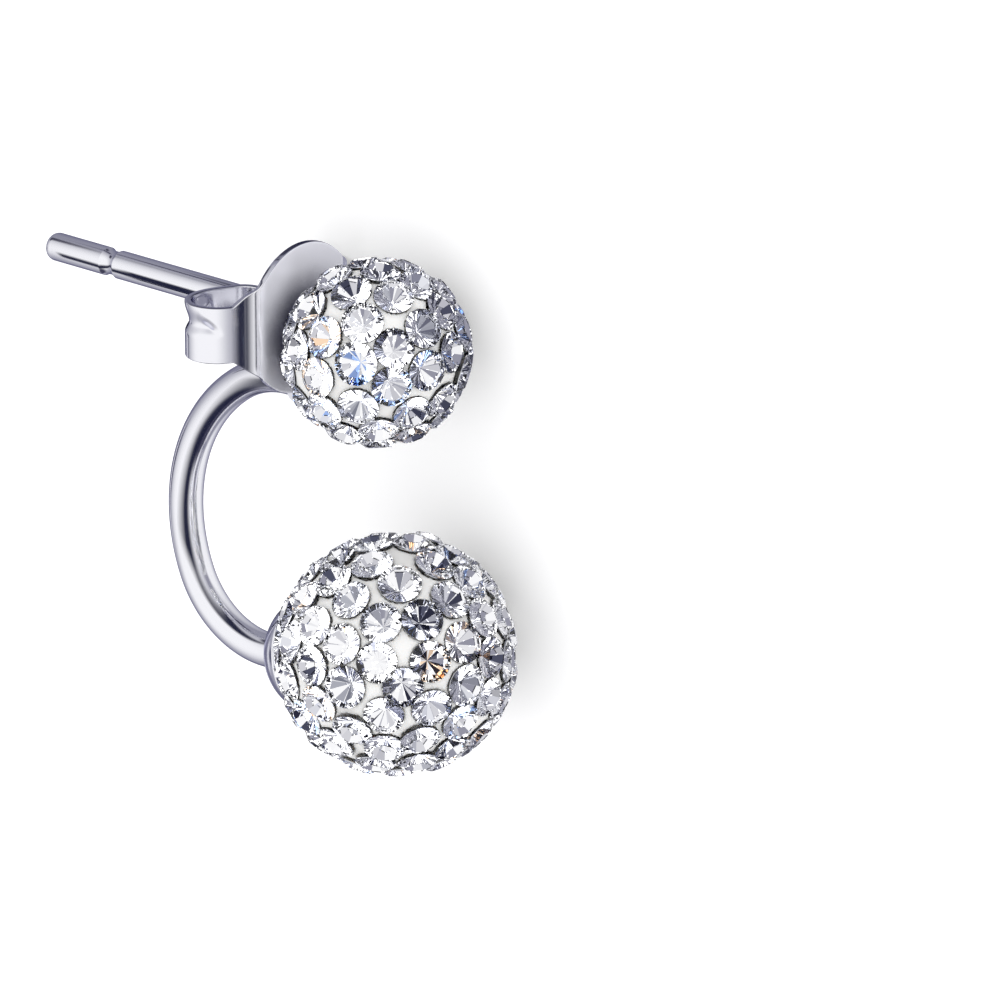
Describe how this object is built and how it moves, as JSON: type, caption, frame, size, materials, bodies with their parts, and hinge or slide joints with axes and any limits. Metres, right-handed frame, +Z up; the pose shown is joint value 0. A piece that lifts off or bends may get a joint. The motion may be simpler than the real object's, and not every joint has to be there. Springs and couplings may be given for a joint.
{
  "type": "double ball stud earring",
  "caption": "Stud earring with a small crystal ball on its post and a butterfly clutch whose bent arm carries a larger crystal ball below.",
  "frame": {"origin": "middle of the bounding box at the surface that the earring lies on", "axes": "+Z up from that surface, +Y along the post towards its free tip, +X from the large ball towards the small ball"},
  "size_m": [0.0174, 0.019, 0.008],
  "materials": {
    "small_ball": "clear faceted crystals set close together in white clay",
    "ear_post": "polished silver plating",
    "clutch_and_arm": "polished silver plating",
    "large_ball": "clear faceted crystals set close together in white clay"
  },
  "bodies": {
    "stud": {"small_ball": "small_ball", "ear_post": "ear_post"},
    "jacket": {"clutch_and_arm": "clutch_and_arm", "large_ball": "large_ball"}
  },
  "joints": [
    {"name": "clutch_slide", "type": "slide", "parent": "stud", "child": "jacket", "axis": [0, 0.9951, 0.099], "range_m": [0, 0.011]}
  ]
}
